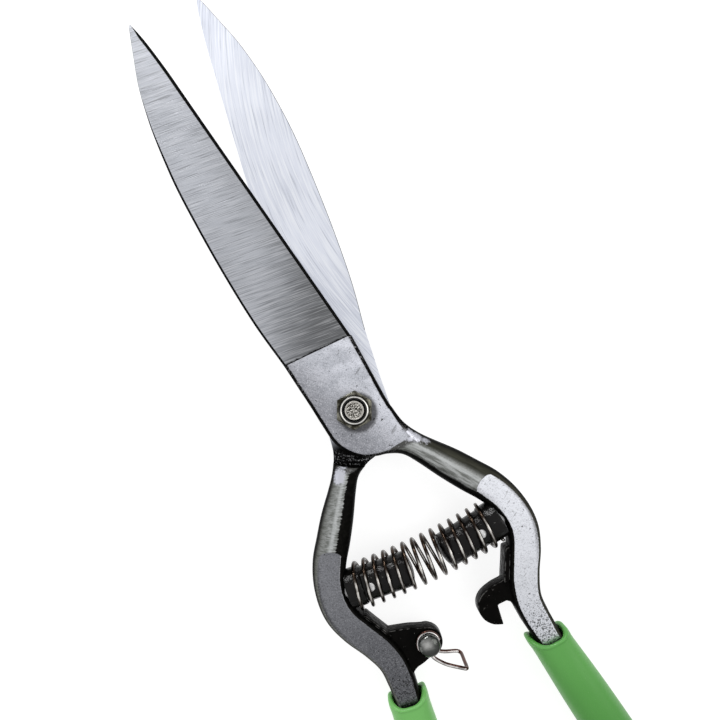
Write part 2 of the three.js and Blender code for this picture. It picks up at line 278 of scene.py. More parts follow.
def skin(name, rings, loop=False, centre=False):
    """A closed body through rings of points; loop joins the last ring to the first, centre closes
    each end on the middle of its ring instead of with one face."""
    rings = np.asarray(rings, float)
    count, around = rings.shape[:2]
    verts = rings.reshape(-1, 3).tolist()
    faces = []
    for i in range(count if loop else count - 1):
        j = (i + 1) % count
        for k in range(around):
            m = (k + 1) % around
            faces.append((i * around + k, i * around + m, j * around + m, j * around + k))
    if not loop:
        for start in (0, (count - 1) * around):
            ring = list(range(start, start + around))
            if centre:
                verts.append(rings[start // around].mean(0).tolist())
                hub = len(verts) - 1
                faces += [(ring[k], ring[(k + 1) % around], hub) for k in range(around)]
            else:
                faces.append(ring)
    return body(name, verts, faces)


def body(name, verts, faces):
    """A mesh object with its faces pointing out."""
    mesh = bpy.data.meshes.new(name)
    mesh.from_pydata(verts, [], faces)
    tidy = bmesh.new()
    tidy.from_mesh(mesh)
    bmesh.ops.remove_doubles(tidy, verts=tidy.verts, dist=1e-6)
    bmesh.ops.recalc_face_normals(tidy, faces=tidy.faces)
    tidy.to_mesh(mesh)
    tidy.free()
    made = bpy.data.objects.new(name, mesh)
    scene.collection.objects.link(made)
    return made


def bake_modifiers(made):
    """Turns the object's modifiers into plain mesh."""
    bpy.context.view_layer.update()
    result = made.evaluated_get(bpy.context.evaluated_depsgraph_get())
    mesh = bpy.data.meshes.new_from_object(result)
    made.modifiers.clear()
    made.data = mesh


def combine(made, tool, operation="DIFFERENCE"):
    """Cuts the tool from the body, or joins it on, and throws the tool away."""
    modifier = made.modifiers.new("combine", "BOOLEAN")
    modifier.operation = operation
    modifier.solver = "EXACT"
    modifier.object = tool
    bake_modifiers(made)
    bpy.data.objects.remove(tool)


def smooth(made, angle=30):
    """Smooth shading with hard edges where faces meet at more than the angle."""
    made.data.shade_smooth()
    made.data.set_sharp_from_angle(angle=math.radians(angle))


def circle(radius, height, sides=96):
    """A level ring round the Z axis."""
    turn = np.linspace(0, 2 * math.pi, sides, endpoint=False)
    return [(radius * math.cos(a), radius * math.sin(a), height) for a in turn]


def round_bar(name, radius, low, high, sides=48):
    """A plain round tool for cutting, along Z."""
    return skin(name, [circle(radius, low, sides), circle(radius, high, sides)])


def rounded_section(half_width, half_height, round_x, round_z, corner=7, flat=8, side=4):
    """A rectangle with oval corners, as rows of (across, up), starting at the right flank."""
    quarter = np.linspace(0, math.pi / 2, corner)
    right = half_width - round_x + round_x * np.cos(quarter)
    top = half_height - round_z + round_z * np.sin(quarter)
    flank = np.linspace(-(half_height - round_z), half_height - round_z, side + 2)[1:-1]
    crest = np.linspace(half_width - round_x, -(half_width - round_x), flat + 2)[1:-1]
    return np.vstack([
        np.c_[np.full(side, half_width), flank], np.c_[right, top],
        np.c_[crest, np.full(flat, half_height)], np.c_[-right[::-1], top[::-1]],
        np.c_[np.full(side, -half_width), flank[::-1]], np.c_[-right, -top],
        np.c_[-crest, np.full(flat, -half_height)], np.c_[right[::-1], -top[::-1]],
    ])


def grip_point(along, across):
    """Plan coordinates of a point in the grip's own frame, in metres."""
    x = GRIP_MOUTH.x + along * math.sin(GRIP_TILT) + across * math.cos(GRIP_TILT)
    y = GRIP_MOUTH.y - along * math.cos(GRIP_TILT) + across * math.sin(GRIP_TILT)
    return x, y


# inner side x, y; outer side x, y; corner width and height; half height before grinding (mm)
FORGING = [
    (-17.4, 26.85, 11.5, 26.85, 2.4, 1.9, 5.2), (-16.1, 17, 12.1, 16, 2.4, 1.9, 5.2),
    (-14.9, 8, 12.5, 8.5, 2.4, 1.9, 5.2), (-14, 0, 12.9, 1, 2.4, 1.9, 5.2),
    (-12.8, -8, 13.3, -3.5, 2.4, 1.9, 5.2), (-10, -13.4, 13.8, -6, 2.4, 1.9, 5.2),
    (-5.5, -17.8, 14.3, -9, 2.6, 2.0, 5.2), (0, -20, 15.2, -12.3, 3.0, 2.4, 5.2),
    (4.5, -21.2, 16.9, -15.8, 4.0, 3.2, 5.2), (9.6, -24, 19.7, -20, 4.8, 4.0, 5.1),
    (13.4, -29.2, 23.4, -24.4, 5.2, 4.6, 5.2), (19, -38.6, 29.6, -31.4, 6.0, 4.9, 5.5),
    (24.2, -46.5, 35.2, -38.8, 5.8, 4.8, 5.6), (28.8, -52.8, 40.3, -46, 4.4, 4.0, 5.5),
    (32.1, -58.8, 44, -54.4, 3.6, 3.5, 5.4), (33.6, -65, 45.8, -63.5, 3.2, 3.2, 5.4),
    (32.9, -70.8, 45.4, -71.8, 3.1, 3.2, 5.4), (29.6, -78, 42.4, -80.2, 3.0, 3.1, 5.4),
    (25.3, -86.8, 38, -88.2, 2.8, 3.0, 5.3), (23.4, -95.5, 34.8, -96, 2.6, 2.8, 5.3),
    (23.7, -104, 34.5, -103.6, 2.4, 2.5, 5.3),
]
TAIL = [(0.0, 5.1), (92.0, 3.6)]    # depth in the grip, and half width there (mm)
PLATE_ROW, BAR_ROW = 8.2, 12.45     # rows at which the ground plate ends and the ground bar starts


def tang_rings():
    """Rings of the forging, and beside each point: how deep the grinding cut it below its forged
    skin (mm), how far it lies along the forging (mm), and across it from -1 inside to 1 outside."""
    stations = through(FORGING, 7)
    row = np.linspace(0, len(FORGING) - 1, len(stations))
    for along, half in TAIL:
        inner = np.array(grip_point(along * MM, -half * MM)) / MM
        outer = np.array(grip_point(along * MM, half * MM)) / MM
        stations = np.vstack([stations, [*inner, *outer, 2.4, 2.5, 5.2]])
        row = np.append(row, row[-1] + 1)
    middle = (stations[:, 0:2] + stations[:, 2:4]) / 2
    length = np.append(0, np.cumsum(np.linalg.norm(np.diff(middle, axis=0), axis=1)))
    plate_end, bar_start = np.interp([PLATE_ROW, BAR_ROW], row, length)
    rings, marks = [], []
    for here, (ix, iy, ox, oy, round_x, round_z, height) in zip(length, stations):
        inner, outer = np.array([ix, iy]), np.array([ox, oy])
        half = np.linalg.norm(outer - inner) / 2
        section = rounded_section(half, height, min(round_x, half * 0.95), round_z)
        plan = (inner + outer) / 2 + section[:, :1] / half * (outer - inner) / 2
        side = section[:, 0] / half
        to_plate = plate_end - here + 3.2 * side
        to_bar = here - bar_start - 3.0 * side**2 - 0.8 * side
        reach = np.maximum(to_plate, to_bar)
        ground = np.minimum(np.abs(section[:, 1]) - PLATE / MM, reach * 0.5)
        up = np.where(ground > 0, np.sign(section[:, 1]) * PLATE / MM, section[:, 1])
        rings.append(np.c_[plan, up] * MM)
        marks.append(np.c_[ground, np.full(len(side), here), side])
    return np.array(rings), np.array(marks)


PEG_TILT = math.radians(6.3)


def peg_frame():
    """From a shape standing on Z to the peg's axis, which leaves the handle's inner flank."""
    return (Matrix.Translation(Vector((33.4, -62.9, 0)) * MM)
            @ Matrix.Rotation(PEG_TILT, 4, "Z") @ Matrix.Rotation(-math.pi / 2, 4, "Y"))


def forged_handle(name):
    """The forging, cut for the other half's plate, the bolt and the stud, with its marks kept."""
    rings, marks = tang_rings()
    made = skin(name, rings)
    combine(made, round_bar("lap", SHOULDER_R, -PLATE * 2, LAP, 96))
    other = body("other", [(x, y, z) for x in (-0.04, 0.04) for y in (0, 0.06) for z in (-0.02, LAP)],
                 [(0, 1, 3, 2), (4, 6, 7, 5), (0, 4, 5, 1), (2, 3, 7, 6), (0, 2, 6, 4), (1, 5, 7, 3)])
    combine(made, other)
    combine(made, round_bar("bore", 4.3 * MM, -0.02, 0.02))
    socket = round_bar("socket", 4.3 * MM, -6.3 * MM, 4 * MM)
    socket.data.transform(peg_frame())
    combine(made, socket)
    tree = KDTree(rings.shape[0] * rings.shape[1])
    for index, point in enumerate(rings.reshape(-1, 3)):
        tree.insert(point, index)
    tree.balance()
    nearest = [tree.find(vertex.co)[1] for vertex in made.data.vertices]
    found = marks.reshape(-1, 3)[nearest]
    for column, mark in enumerate(("grind_depth", "along", "across")):
        layer = made.data.attributes.new(mark, "FLOAT", "POINT")
        layer.data.foreach_set("value", np.ascontiguousarray(found[:, column], dtype=np.float32))
    smooth(made, 40)
    return made


def lap_steel(paint, here, outward):
    """The inner faces of a half, ground in long arcs: (colour, relief)."""
    centre = distance(here, (-0.187 * outward, 0.082, pivot.z))
    wander = noise(here, 30.0, 2.0) * 0.0015
    track = paint.node("ShaderNodeCombineXYZ", {},
                       {0: (centre + wander) * 1500.0, 1: coordinate(here, 1) * 28.0})
    arcs = noise(track, 1.0, 3.0, 0.75)
    cloud = noise(here, 30.0, 2.0)
    soft = mixed(step(cloud, 0.3, 0.7), (0.84, 0.87, 0.96, 1), (0.70, 0.73, 0.82, 1))
    pale = mixed(step(arcs, 0.48, 0.60) * 0.7, soft, (0.93, 0.95, 1.0, 1))
    return mixed((1 - step(arcs, 0.34, 0.44)) * 0.5, pale, (0.36, 0.38, 0.44, 1)), arcs


# How each half is finished. Both halves are the same steel; the front half's bar tones, belt marks and
# pale grain are set lighter and the rear half's darker, with more dark grain, as painted light and shade.
# The streak is measured across the shank, from -1 inside to 1 outside: where it starts, is full, begins
# to fade and ends; the crest is where a painted highlight runs along it. The weave is how close its marks
# lie along and across the shank; scuffs are bare spots on the neck, in metres.
FINISHES = {
    "front": {
        "outward": 1, "streak_and_sheen": (-0.72, -0.36, 0.05, 0.5), "crest": 0.06, "weave": (0.12, 6.0),
        "scuffs": [(0.0150, -0.0180), (0.0178, -0.0196), (0.0208, -0.0216)],
        "bar_tones": ((0.91, 0.93, 0.99, 1), (0.76, 0.78, 0.83, 1)),
        "belt_light": grey(0.80, 0, 0.05), "glint": grey(0.93, 0, 0.05), "grain_share": 0.34,
    },
    "rear": {
        "outward": -1, "streak_and_sheen": (-0.28, -0.18, 0.10, 1.15), "crest": 0.06, "weave": (1.7, 2.2),
        "scuffs": [(-0.0160, -0.0200), (-0.0170, -0.0212)],
        "bar_tones": ((0.23, 0.235, 0.255, 1), (0.13, 0.133, 0.145, 1)),
        "belt_light": grey(0.30, 0, 0.01), "glint": grey(0.42, 0, 0.03), "grain_share": 0.55,
    },
}


def forging_spot(paint):
    """What the finishes of a forging go by: its marks, its place and level, and shared textures.
    Along it (mm) lie the bolt at 27, the shank from 51, the bar from 84 and the grip from 154."""
    here = place_on(paint)
    depth, along, across = (paint.node("ShaderNodeAttribute", {"attribute_name": mark}, out="Fac")
                            for mark in ("grind_depth", "along", "across"))
    return SimpleNamespace(
        here=here, x=coordinate(here, 0), y=coordinate(here, 1), z=coordinate(here, 2),
        depth=depth, along=along, across=across, level=abs(facing_up(paint)),
        grain=noise(here, 2200.0, 3.0, 0.6), ragged=noise(here, 1300.0, 3.0),
        cloud=noise(here, 110.0, 4.0, 0.6), scale=noise(here, 700.0, 4.0, 0.6),
        belt=noise(place_on(paint, (420, 5200, 800), 0.75), 1.0, 5.0, 0.65),
        pits=step(noise(here, 560.0, 2.0), 0.70, 0.74))


def plate_face(spot, on_bar, outward):
    """The pivot plate: bright toward the blade's back, with painted shade toward the other side and the
    rim.
    """
    bright = mixed(step(spot.cloud, 0.36, 0.62), (0.86, 0.88, 0.96, 1), (0.58, 0.60, 0.66, 1))
    # painted light: the plate darkens toward one side by its place, as shade
    painted_light_slope = spot.y * 0.45 + spot.x * outward + (spot.cloud - 0.5) * 0.018
    bright = mixed((1 - step(painted_light_slope, -0.011, 0.011)) * 0.68, bright, grey(0.17, 0.0, 0.02))
    # painted shade along the rim of the ground plate
    rim = (1 - step(spot.depth, 0.06, 0.19)) * (1 - on_bar)
    return mixed(rim * 0.3, bright, grey(0.12, 0.0, 0.01))


def bar_face(spot, tones):
    """The curved bar: one tone at the shank and one at the grip, with painted shade along its borders
    and a painted highlight on the rim where the ground flat begins.
    """
    cloud, along = spot.cloud, spot.along
    bright = mixed(step(along + (cloud - 0.5) * 24.0, 92.0, 138.0), *tones)
    # painted shade along the inner border near the shank
    inner = 1 - step(spot.across + (cloud - 0.5) * 0.5, -0.85, -0.25)
    bright = mixed(inner * (1 - step(along, 84.0, 104.0)) * 0.55, bright, grey(0.10, 0, 0.01))
    # painted highlight on the rim where the ground flat begins
    rim = (1 - step(spot.depth, 0.04, 0.13)) * (1 - step(along, 88.0, 120.0))
    bright = mixed(rim * 0.55, bright, grey(0.72, 0, 0.03))
    # painted shade along the outer border, fading toward the grip
    outer = step(spot.across + (cloud - 0.5) * 0.16, 0.50, 0.70)
    return mixed(outer * (1 - step(along, 108.0, 130.0)) * 0.85, bright, grey(0.05, 0, 0.004))


def belt_ground(paint, spot, look):
    """The ground faces of plate and bar, with their scratches, grain, pits and smears, and a painted
    shadow of the nut.
    """
    on_bar = step(spot.along, 60.0, 75.0)
    plate_bright = plate_face(spot, on_bar, look["outward"])
    bright = mixed(on_bar, plate_bright, bar_face(spot, look["bar_tones"]))
    # each half's belt marks and grain take its own tones, lighter on the front half and darker on the
    # rear, as painted light and shade
    bright = mixed(step(spot.belt, 0.52, 0.68) * 0.30, bright, look["belt_light"])
    bright = mixed((1 - step(spot.belt, 0.34, 0.46)) * 0.35, bright, grey(0.10, 0, 0.006))
    dark_grain = step(spot.grain, 0.54, 0.66) * look["grain_share"]
    bright = mixed(dark_grain, bright, grey(0.05, 0.0, 0.004))
    bright = mixed((1 - step(spot.grain, 0.34, 0.46)) * 0.4, bright, look["glint"])
    # painted shadow of the nut: a dark ring beside the bolt, set off to one side
    from_bolt = distance(spot.here, (0.0006, -0.0014, pivot.z + PLATE * look["outward"]))
    painted_nut_shadow = 1 - step(from_bolt - spot.cloud * 0.0016, 0.0062, 0.0078)
    smear = step(noise(place_on(paint, (150, 700, 300), -0.5), 1.0, 3.0), 0.66, 0.74)
    near_grip = step(spot.along, 128.0, 150.0)
    specks = step(noise(spot.here, 1900.0, 3.0, 0.6) + near_grip * 0.15, 0.67, 0.72)
    dirt_and_painted_shadow = [(painted_nut_shadow * 0.8, 0.03), (spot.pits * 0.8, 0.04), (smear * 0.45, 0.08), (specks * 0.85, 0.02)]
    for share, tone in dirt_and_painted_shadow:
        bright = mixed(share, bright, grey(tone))
    return bright


def rubbed_shank(paint, spot, look, on_shank, black):
    """The forged skin: black, olive where it was wiped, with a streak that is partly rubbed steel and
    partly a painted highlight, the rounded shank's reflection, and a painted highlight along its crest;
    the wipe and the streak lie only on skin that faces up, as painted light: (colour, streak).
    """
    weave_along, weave_across = look["weave"]
    drawn = paint.node("ShaderNodeCombineXYZ", {},
                       {0: spot.along * weave_along, 1: spot.across * weave_across})
    fibre = noise(drawn, 1.0, 5.0, 0.6)
    frayed = spot.across + (fibre - 0.5) * 0.35 + (spot.ragged - 0.5) * 0.12
    # painted light: only the skin that faces up takes the wipe and the streak
    top = step(spot.level, 0.50, 0.86) * on_shank
    olive = mixed(fibre, (0.006, 0.006, 0.0045, 1), (0.068, 0.068, 0.052, 1))
    wiped = top * (0.06 + 0.94 * step(frayed, *look["streak_and_sheen"][:2]))
    rubbed_and_sheen = mixed(step(fibre, 0.38, 0.62), (0.20, 0.208, 0.197, 1), (0.48, 0.495, 0.49, 1))
    rubbed_and_sheen = mixed(step(spot.grain, 0.50, 0.70) * 0.35, rubbed_and_sheen, (0.16, 0.16, 0.145, 1))
    # the streak is partly rubbed steel and partly a painted highlight for the rounded shank's reflection
    streak_and_sheen = top * within(frayed, *look["streak_and_sheen"])
    crest = look["crest"]
    # painted highlight along the streak's crest
    crest_highlight = within(frayed, crest - 0.20, crest - 0.04, crest + 0.04, crest + 0.16)
    forged = mixed(streak_and_sheen, mixed(wiped, black, olive), rubbed_and_sheen)
    return mixed(top * crest_highlight * (0.20 + fibre * 0.9), forged, (0.62, 0.64, 0.64, 1)), streak_and_sheen


def bare_spots(paint, spot, places):
    """Spots on the neck where the skin was knocked through to bright steel."""
    nearest = 1.0
    for place in places:
        away = distance(spot.here, (*place, pivot.z + PLATE))
        nearest = paint.maths("MINIMUM", away, nearest)
    inside = 1 - step(nearest + (spot.ragged - 0.5) * 0.003, 0.0015, 0.0030)
    return inside * step(spot.level, 0.5, 0.8)


def neck_flecks(paint, spot, on_shank):
    """Bright flecks in rings about the bolt, left by the other half's plate as it turns."""
    reach = from_axis(spot.here)
    track = paint.node("ShaderNodeCombineXYZ", {}, {0: reach * 1300.0, 1: spot.x * 60.0})
    rings = noise(track, 1.0, 2.0)
    fleck = step(noise(spot.here, 1500.0, 3.0, 0.7) + (rings - 0.5) * 0.5, 0.54, 0.66)
    fleck = fleck * (1 - on_shank) * step(spot.level, 0.6, 0.9)
    return fleck * step(reach, 0.017, 0.019) * 0.8


def forged_steel(name, look):
    """Belt-ground steel where the grinding went below the forged skin, and black scale elsewhere."""
    material, paint, shader = finish(name, Specular_IOR_Level=0.02)
    outward = look["outward"]
    spot = forging_spot(paint)
    ground = step(spot.depth + (spot.ragged - 0.5) * 0.14, -0.02, 0.05)
    shoulder = spot.along - spot.across * 3.2 + (spot.ragged - 0.5) * 2.0
    on_shank = step(shoulder, 52.6, 54.6)
    black = mixed(step(spot.scale, 0.40, 0.75),
                  (0.001, 0.001, 0.001, 1), (0.006, 0.0055, 0.005, 1))
    forged, streak_and_sheen = rubbed_shank(paint, spot, look, on_shank, black)
    neck = (1 - on_shank) * step(spot.level, 0.8, 0.97) * step(spot.along, 44.0, 48.0)
    forged = mixed(neck * (0.3 + spot.cloud * 0.5), forged, (0.13, 0.13, 0.125, 1))
    fleck = neck_flecks(paint, spot, on_shank)
    scuffed = bare_spots(paint, spot, look["scuffs"])
    forged = mixed(fleck, forged, (0.30, 0.30, 0.31, 1))
    forged = mixed(scuffed, forged, (0.66, 0.67, 0.74, 1))

    off_lap = abs(spot.z - (pivot.z + LAP * outward))
    on_lap = (1 - step(off_lap, 0.05 * MM, 0.2 * MM)) * step(spot.level, 0.9, 0.97)
    clean = on_lap * step(spot.y, -0.012, -0.002)
    pale, arcs = lap_steel(paint, spot.here, outward)
    surface = mixed(ground, forged, belt_ground(paint, spot, look))
    surface = mixed(on_lap, surface, mixed(fleck, black, (0.30, 0.30, 0.31, 1)))
    mixed(clean, surface, pale).feed(shader, "Base Color")
    metal = paint.maths("MAXIMUM", ground, paint.maths("MAXIMUM", streak_and_sheen, scuffed + fleck))
    (metal * (1 - on_lap) + clean + on_lap * (1 - clean) * fleck).feed(shader, "Metallic")
    satin = ground * (0.28 + spot.belt * 0.16) + (1 - ground) * (0.26 + spot.scale * 0.22)
    (satin * (1 - clean) + clean * (0.34 + arcs * 0.12)).feed(shader, "Roughness")
    dents = noise(spot.here, 150.0, 2.0) * 1.2
    relief = ground * (spot.belt * 0.12 - spot.pits * 0.4) + (1 - ground) * (spot.scale * 0.2 + dents)
    bump(relief * (1 - clean) + clean * arcs * 0.1, 0.0003).feed(shader, "Normal")
    return material


for side, (place, half) in HALVES.items():
    tang = forged_handle(f"{side}_handle_forging")
    tang.data.transform(place)
    tang.data.materials.append(forged_steel(f"{side}_forged_steel", FINISHES[side]))
    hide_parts(f"{side}_tang")
    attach(tang, half)

# ---------------------------------------------------------------------------------------------
# Blades: hardened carbon steel, joined to the forgings at the shoulder. The outer face is ground
# across its width and falls in thickness to the tip, with a steep bevel along the cutting edge and
# a broken spine. The inner face is ground in long arcs and lies on the plane of the cut.
# y; spine x; edge x; thickness (mm)
BLADE = [
    (26.86, -17.4, 11.35, 4.2), (47, -21.0, 8.11, 3.93), (70, -23.5, 4.42, 3.62),
    (94, -25.1, 0.57, 3.29), (112, -25.6, -2.32, 3.05), (130, -24.7, -5.21, 2.81),
    (142, -23.2, -7.13, 2.64), (152, -21.3, -8.74, 2.51), (161.5, -18.6, -10.55, 2.38),
    (168, -16.7, -12.0, 2.29), (172.6, -15.25, -13.3, 2.23), (174.2, -14.35, -13.95, 2.2),
]


def blade_rings():
    rings = []
    for y, spine, edge, thick in through(BLADE, 9):
        width = edge - spine
        bevel = min(1.45, 0.30 * width)
        broken = min(1.0, max(0.12, (152 - y) / 34), 0.25 * width)
        low, high = LAP / MM, LAP / MM + thick
        face = np.linspace(edge - bevel, spine + broken, 9)
        inner = np.linspace(spine + 0.2 * min(1, width), edge, 9)
        hollow = 0.18 * min(1, width / 12) * np.sin(np.linspace(0, math.pi, 9))
        outline = [(edge, low), (edge, low + 0.3), *[(x, high) for x in face],
                   (spine, high - broken * 1.2), (spine, low + 0.25),
                   *[(x, low + dip) for x, dip in zip(inner[:-1], hollow[:-1])]]
        rings.append([(x * MM, y * MM, z * MM) for x, z in outline])
    return rings


def ground_blade(name, outward):
    """Cross-ground outer face with painted light, lighter toward the tip and the spine; arc-ground
    inner face; and narrow facets at the edges painted near black as shade.
    """
    material, paint, shader = finish(name, Specular_IOR_Level=0.0)
    here = place_on(paint)
    across = noise(place_on(paint, (80, 3200, 500), 0.10 * outward), 1.0, 2.0, 0.6)
    coarse = noise(place_on(paint, (40, 1200, 500), 0.10 * outward), 1.0, 2.0, 0.6)
    cloud = noise(place_on(paint, (1, 0.5, 1)), 50.0, 2.0)
    y = coordinate(here, 1)
    # painted light: the outer face is lighter toward the tip and the spine, darker toward the root by the
    # edge
    painted_light_toward_tip = y + coordinate(here, 0) * (-2.6 * outward)
    painted_light_toward_tip = step(painted_light_toward_tip, 0.022, 0.105) * 0.50 + step(painted_light_toward_tip, 0.10, 0.17) * 0.12
    shade = painted_light_toward_tip + (cloud - 0.5) * 0.35 + (coarse - 0.5) * 0.24
    tone = mixed(step(shade, -0.05, 0.75), (0.15, 0.154, 0.160, 1), (0.56, 0.58, 0.63, 1))
    tone = mixed(step(across, 0.50, 0.66) * 0.34, tone, grey(0.74, 0, 0.03))
    tone = mixed((1 - step(across, 0.34, 0.48)) * 0.42, tone, grey(0.08, 0, 0.005))
    pale, arcs = lap_steel(paint, here, outward)
    facing = facing_up(paint) * outward
    outer = step(facing, 0.0, 0.1)
    flat = step(abs(facing), 0.93, 0.985)
    wide = mixed(outer, pale, tone)
    # the narrow facets are painted near black as shade
    painted_facet_shade = mixed(across, grey(0.002), grey(0.012))
    ragged = noise(here, 700.0, 3.0)
    seam = (1 - step(y - ragged * 0.0014, 0.0264, 0.0271)) * outer
    mixed(flat * (1 - seam), painted_facet_shade, wide).feed(shader, "Base Color")
    flat.feed(shader, "Metallic")
    rough = outer * (0.28 + across * 0.16) + (1 - outer) * (0.34 + arcs * 0.12)
    rough.feed(shader, "Roughness")
    bump(outer * across + (1 - outer) * arcs * 0.5, 0.00006).feed(shader, "Normal")
    return material


for side, (place, half) in HALVES.items():
    blade = skin(f"{side}_ground_blade", blade_rings())
    smooth(blade, 12)
    blade.data.transform(place)
    blade.data.materials.append(ground_blade(f"{side}_blade_steel", 1 if side == "front" else -1))
    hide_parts(f"{side}_blade")
    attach(blade, half)

# ---------------------------------------------------------------------------------------------
# Pivot: an M8 bolt from behind through both plates, and a locking nut in front, both zinc plated
# and passivated a pale yellow. The nut's collar grips a dark nylon ring. All three stay with the
# rear half.
ACROSS_FLATS = 13 * MM
NUT_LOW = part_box("pivot_nut")[0].z
COLLAR_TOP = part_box("pivot_nut")[1].z
COLLAR_H = 1.5 * MM
HEX_TURN = math.radians(4.4)


def hex_ring(height, fall, sides=96, inset=0.0):
    """A ring round the hexagon; where it stands out past the flats it drops by the turned chamfer."""
    ring = []
    for turn in np.linspace(0, 2 * math.pi, sides, endpoint=False):
        off = (turn - HEX_TURN) % (math.pi / 3) - math.pi / 6
        reach = (ACROSS_FLATS / 2 - inset) / math.cos(off)
        drop = max(0.0, reach - ACROSS_FLATS / 2 * 1.01) * fall
        ring.append((reach * math.cos(turn), reach * math.sin(turn), height - drop))
    return ring


def zinc_plate(name):
    """Stained zinc: a dull hexagon, painted shade in the corner below the collar and on the hexagon's
    outer chamfer, and a painted highlight along the collar's crest.
    """
    material, paint, shader = finish(name, Metallic=1.0)
    here = place_on(paint)
    stain = noise(here, 420.0, 4.0)
    fine = noise(here, 2600.0, 3.0)
    reach = from_axis(here)
    wear_and_sheen = step(stain, 0.38, 0.64)
    hexagon = mixed(wear_and_sheen, (0.03, 0.028, 0.020, 1), (0.23, 0.225, 0.185, 1))
    # painted highlight: a bright ring along the collar's crest
    crest = within(reach, 4.75 * MM, 4.90 * MM, 5.05 * MM, 5.2 * MM)
    collar = mixed(wear_and_sheen, (0.10, 0.097, 0.085, 1), (0.34, 0.335, 0.30, 1))
    collar = mixed(crest, collar, (0.92, 0.91, 0.88, 1))
    tone = mixed(step(reach, 5.6 * MM, 5.8 * MM), collar, hexagon)
    # painted shade in the corner below the collar
    corner = within(reach, 5.3 * MM, 5.55 * MM, 5.7 * MM, 6.0 * MM)
    tone = mixed(corner * 0.95, tone, (0.008, 0.007, 0.005, 1))
    # painted shade on the hexagon's outer chamfer
    tone = mixed(step(reach, 6.7 * MM, 7.2 * MM) * 0.6, tone, (0.05, 0.045, 0.028, 1))
    specks = step(fine, 0.60, 0.74) * 0.5
    mixed(specks, tone, (0.04, 0.035, 0.025, 1)).feed(shader, "Base Color")
    (0.16 + stain * 0.20).feed(shader, "Roughness")
    bump(fine, 0.00006).feed(shader, "Normal")
    return material


zinc = zinc_plate("zinc_plate")
HEX_TOP = COLLAR_TOP - COLLAR_H
nut_rings = [
    circle(4.3 * MM, NUT_LOW), circle(5.9 * MM, NUT_LOW), hex_ring(NUT_LOW + 0.15 * MM, -0.55),
    hex_ring(HEX_TOP - 0.25 * MM, 0.58), hex_ring(HEX_TOP, 0.58, inset=0.25 * MM),
    circle(6.0 * MM, HEX_TOP + 0.02 * MM), circle(5.65 * MM, HEX_TOP + 0.10 * MM),
    circle(5.5 * MM, HEX_TOP + 0.4 * MM), circle(5.45 * MM, COLLAR_TOP - 0.5 * MM),
    circle(5.25 * MM, COLLAR_TOP - 0.12 * MM), circle(4.95 * MM, COLLAR_TOP),
    circle(4.65 * MM, COLLAR_TOP - 0.1 * MM), circle(4.6 * MM, COLLAR_TOP - 0.4 * MM),
    circle(4.6 * MM, HEX_TOP - 0.6 * MM), circle(4.3 * MM, HEX_TOP - 0.6 * MM),
]
nut = skin("lock_nut", nut_rings, loop=True)
smooth(nut, 24)
nut.data.materials.append(zinc)
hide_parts("pivot_nut")
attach(nut, "rear_half")

nylon, paint, shader = finish("nylon", Roughness=0.55)
mixed(noise(place_on(paint), 900.0), (0.012, 0.012, 0.014, 1),
      (0.035, 0.035, 0.038, 1)).feed(shader, "Base Color")
ring = skin("locking_ring", [circle(r * MM, COLLAR_TOP - h * MM) for r, h in (
    (4.12, 1.9), (4.55, 1.9), (4.55, 0.75), (4.4, 0.5), (4.25, 0.5), (4.12, 0.7))], loop=True)
smooth(ring, 40)
ring.data.materials.append(nylon)
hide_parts("nut_nylon_ring")
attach(ring, "rear_half")

HEAD_TOP = pivot.z - PLATE - 0.3 * MM
BOLT_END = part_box("pivot_bolt")[1].z
bolt_rings = [
    circle(0.6 * MM, 0.0), circle(5.6 * MM, 0.0), hex_ring(0.25 * MM, -0.58, inset=0.25 * MM),
    hex_ring(0.5 * MM, -0.58), hex_ring(HEAD_TOP - 0.1 * MM, 0.0), circle(5.9 * MM, HEAD_TOP),
    circle(4.0 * MM, HEAD_TOP), circle(4.0 * MM, BOLT_END - 0.9 * MM),
    circle(3.75 * MM, BOLT_END - 0.45 * MM), circle(3.4 * MM, BOLT_END - 0.04 * MM),
    circle(3.2 * MM, BOLT_END - 0.05 * MM), circle(3.0 * MM, BOLT_END - 0.28 * MM),
    circle(0.6 * MM, BOLT_END - 0.25 * MM),
]
bolt = skin("pivot_bolt_body", bolt_rings, centre=True)
smooth(bolt, 24)
bolt_steel, paint, shader = finish("bolt_end_steel", Metallic=1.0)
here = place_on(paint)
stamped = noise(here, 1500.0, 4.0, 0.65)
reach = from_axis(here)
rim = step(reach + stamped * 0.0008, 3.1 * MM, 3.3 * MM)
thread = step(reach, 3.5 * MM, 3.65 * MM)
centre_tone = mixed(step(stamped, 0.44, 0.58), (0.04, 0.036, 0.03, 1), (0.62, 0.60, 0.56, 1))
end_tone = mixed(rim, centre_tone, (0.66, 0.64, 0.60, 1))
mixed(thread, end_tone, (0.015, 0.014, 0.012, 1)).feed(shader, "Base Color")
(0.22 + stamped * 0.25).feed(shader, "Roughness")
bump((1 - rim) * stamped, 0.0007).feed(shader, "Normal")
bolt.data.materials.append(bolt_steel)
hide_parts("pivot_bolt")
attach(bolt, "rear_half")

